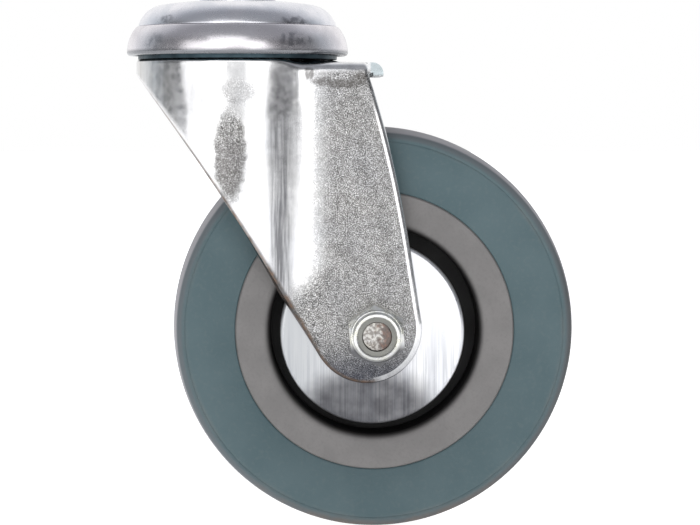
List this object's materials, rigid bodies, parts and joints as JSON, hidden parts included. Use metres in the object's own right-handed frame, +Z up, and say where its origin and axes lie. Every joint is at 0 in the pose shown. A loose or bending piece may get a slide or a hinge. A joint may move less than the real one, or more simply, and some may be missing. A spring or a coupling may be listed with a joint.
{
  "type": "gate wheel",
  "caption": "Swivel castor wheel for a gate: domed ball-race head with a bolt hole, pressed steel fork, solid rubber tyre on a plastic centre.",
  "frame": {"origin": "centre of the bolt hole at the flat top face of the head", "axes": "+Z up along the swivel axis, out of the bolt hole; +X towards the side that the wheel trails to; Y along the axle, with the nut on the -Y side"},
  "size_m": [0.1112, 0.0555, 0.132],
  "materials": {
    "cap_zinc": "bright zinc plate with a faint lilac tint",
    "ring_zinc": "bright zinc plate with a faint pink tint",
    "race_steel": "turned steel, lightly greased",
    "bearing_steel": "ground bearing steel",
    "fork_zinc": "bright zinc plate with fine spangle",
    "bolt_zinc": "zinc plate, a little rust on the bolt end",
    "insert_plastic": "dull grey plastic",
    "guard_zinc": "rolled bright sheet with fine vertical lines",
    "bearing_plastic": "natural nylon",
    "tyre_rubber": "matte grey rubber",
    "centre_plastic": "moulded grey plastic"
  },
  "bodies": {
    "head": {"swivel_cap": "cap_zinc", "skirt_ring": "ring_zinc", "king_sleeve": "ring_zinc", "upper_race": "race_steel", "lower_race": "race_steel"},
    "upper_ball_ring": {"upper_balls": "bearing_steel"},
    "lower_ball_ring": {"lower_balls": "bearing_steel"},
    "fork_assembly": {"fork": "fork_zinc", "axle_bolt": "bolt_zinc", "lock_nut": "bolt_zinc", "nut_insert": "insert_plastic", "axle_tube": "bearing_steel", "near_guard": "guard_zinc", "far_guard": "guard_zinc", "thrust_washers": "bearing_plastic"},
    "wheel": {"tyre": "tyre_rubber", "wheel_centre": "centre_plastic", "bearing_shell": "bearing_steel"},
    "roller_bearing": {"roller_cage": "bearing_plastic", "rollers": "bearing_steel"}
  },
  "joints": [
    {"name": "swivel", "type": "hinge", "parent": "head", "child": "fork_assembly", "pos_m": [0, 0, 0], "axis": [0, 0, 1], "continuous": true},
    {"name": "upper_ball_orbit", "type": "hinge", "parent": "head", "child": "upper_ball_ring", "pos_m": [0, 0, 0], "axis": [0, 0, 1], "continuous": true},
    {"name": "lower_ball_orbit", "type": "hinge", "parent": "head", "child": "lower_ball_ring", "pos_m": [0, 0, 0], "axis": [0, 0, 1], "continuous": true},
    {"name": "wheel_spin", "type": "hinge", "parent": "fork_assembly", "child": "wheel", "pos_m": [0.0337, 0, -0.082], "axis": [0, 1, 0], "continuous": true},
    {"name": "roller_orbit", "type": "hinge", "parent": "fork_assembly", "child": "roller_bearing", "pos_m": [0.0337, 0, -0.082], "axis": [0, 1, 0], "continuous": true}
  ],
  "couplings": [
    {"joint": "upper_ball_orbit", "follows": "swivel", "ratio": 0.5},
    {"joint": "lower_ball_orbit", "follows": "swivel", "ratio": 0.5},
    {"joint": "roller_orbit", "follows": "wheel_spin", "ratio": 0.625}
  ]
}
